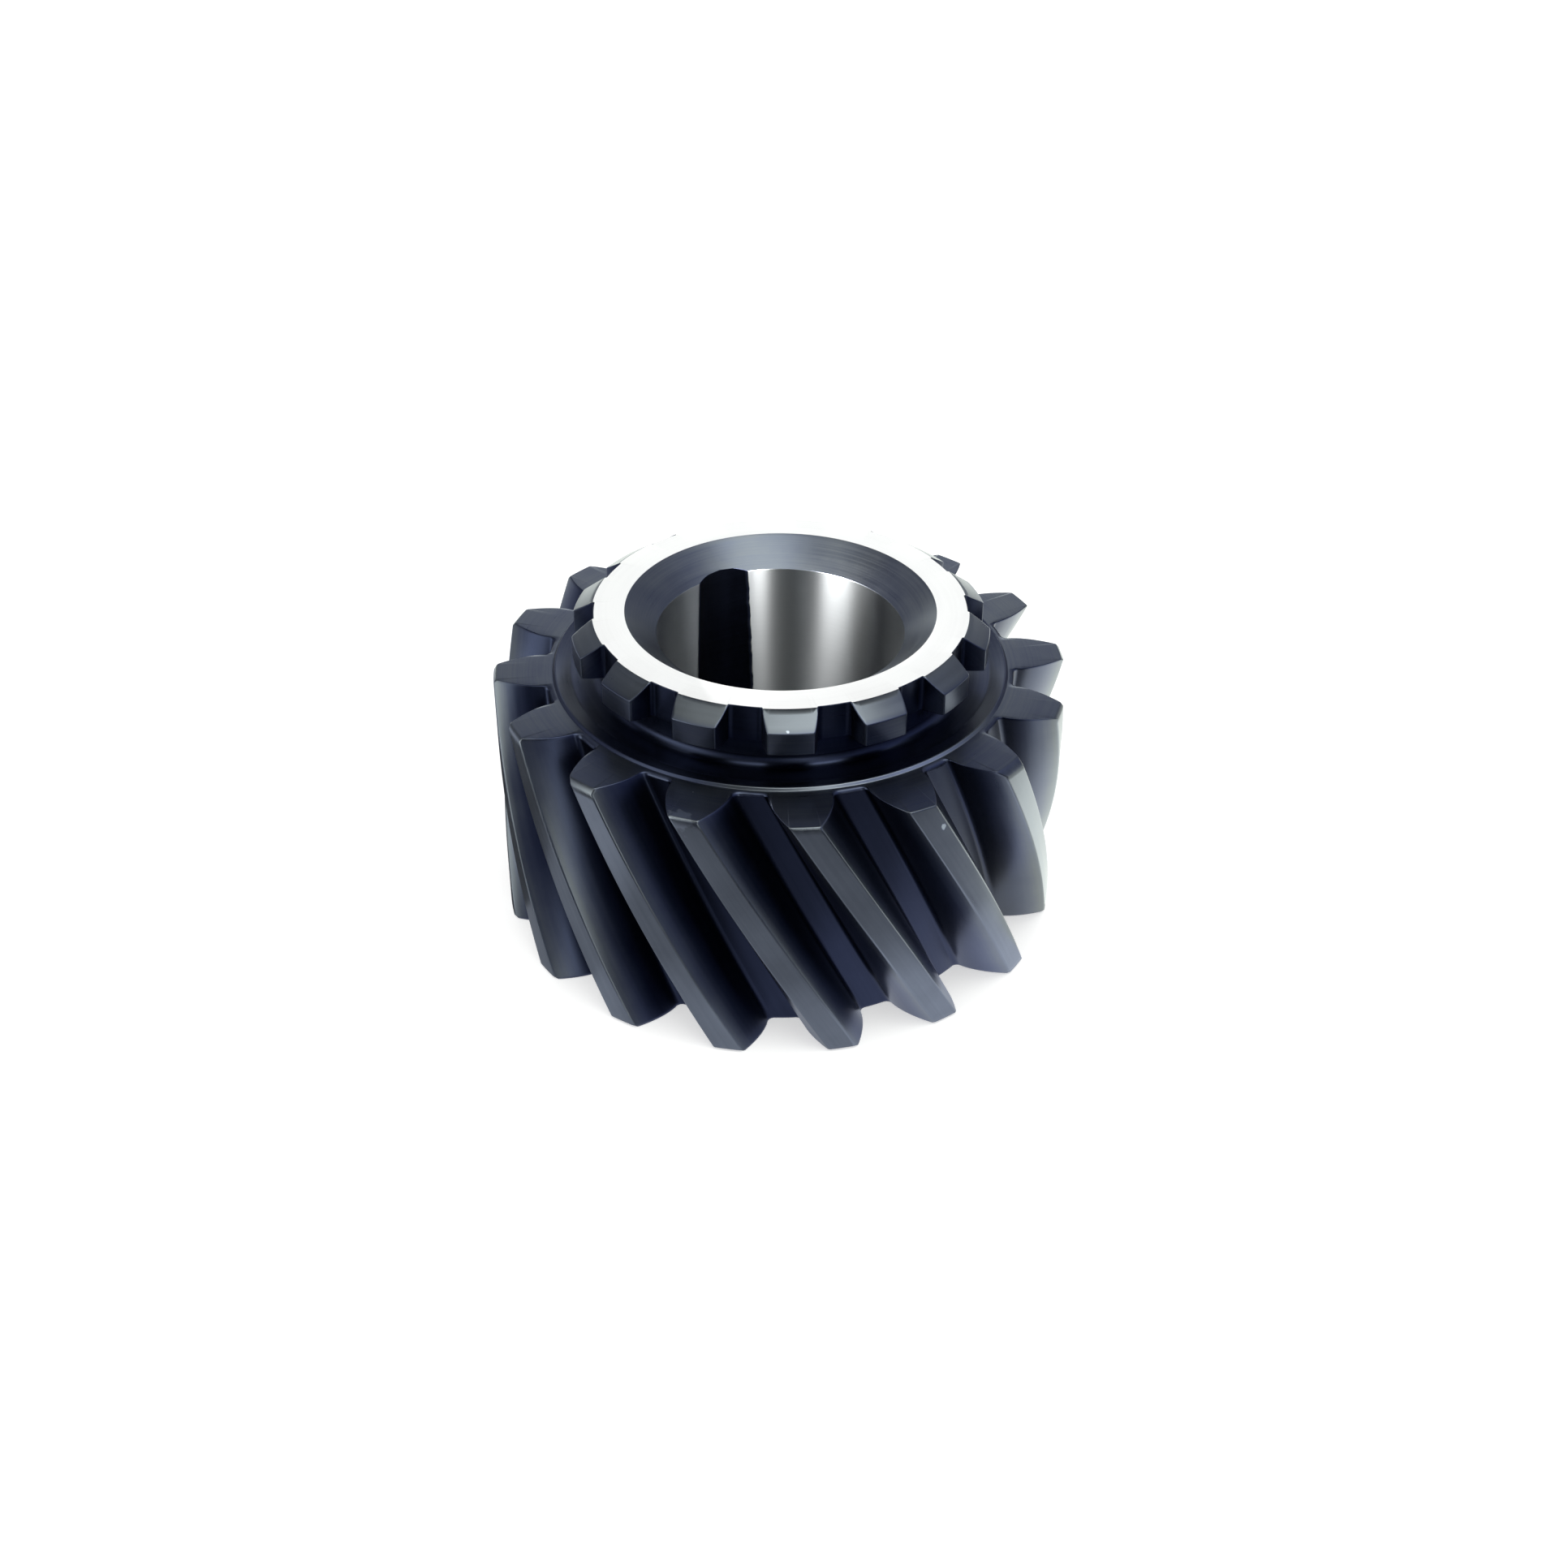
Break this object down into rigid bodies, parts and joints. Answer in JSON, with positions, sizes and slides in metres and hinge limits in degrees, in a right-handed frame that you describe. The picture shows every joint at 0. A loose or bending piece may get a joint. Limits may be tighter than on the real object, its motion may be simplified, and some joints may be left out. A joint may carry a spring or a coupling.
{
  "type": "helical pinion",
  "caption": "Left-hand helical gearbox pinion with a ground through bore, a lead-in chamfer and a raised ring of dog clutch teeth, made as one solid piece.",
  "frame": {"origin": "centre of the bore in the plane of the lower end face, which the pinion stands on", "axes": "+Z along the bore towards the dog ring; -Y faces the front of the picture, +X to its right"},
  "size_m": [0.1, 0.1, 0.058],
  "materials": {
    "blackened_steel": "satin black oxide on machined steel",
    "ground_steel": "bright ground and honed steel on the ring face and in the bore"
  },
  "bodies": {
    "root": {"helical_pinion": "blackened_steel"}
  },
  "joints": []
}
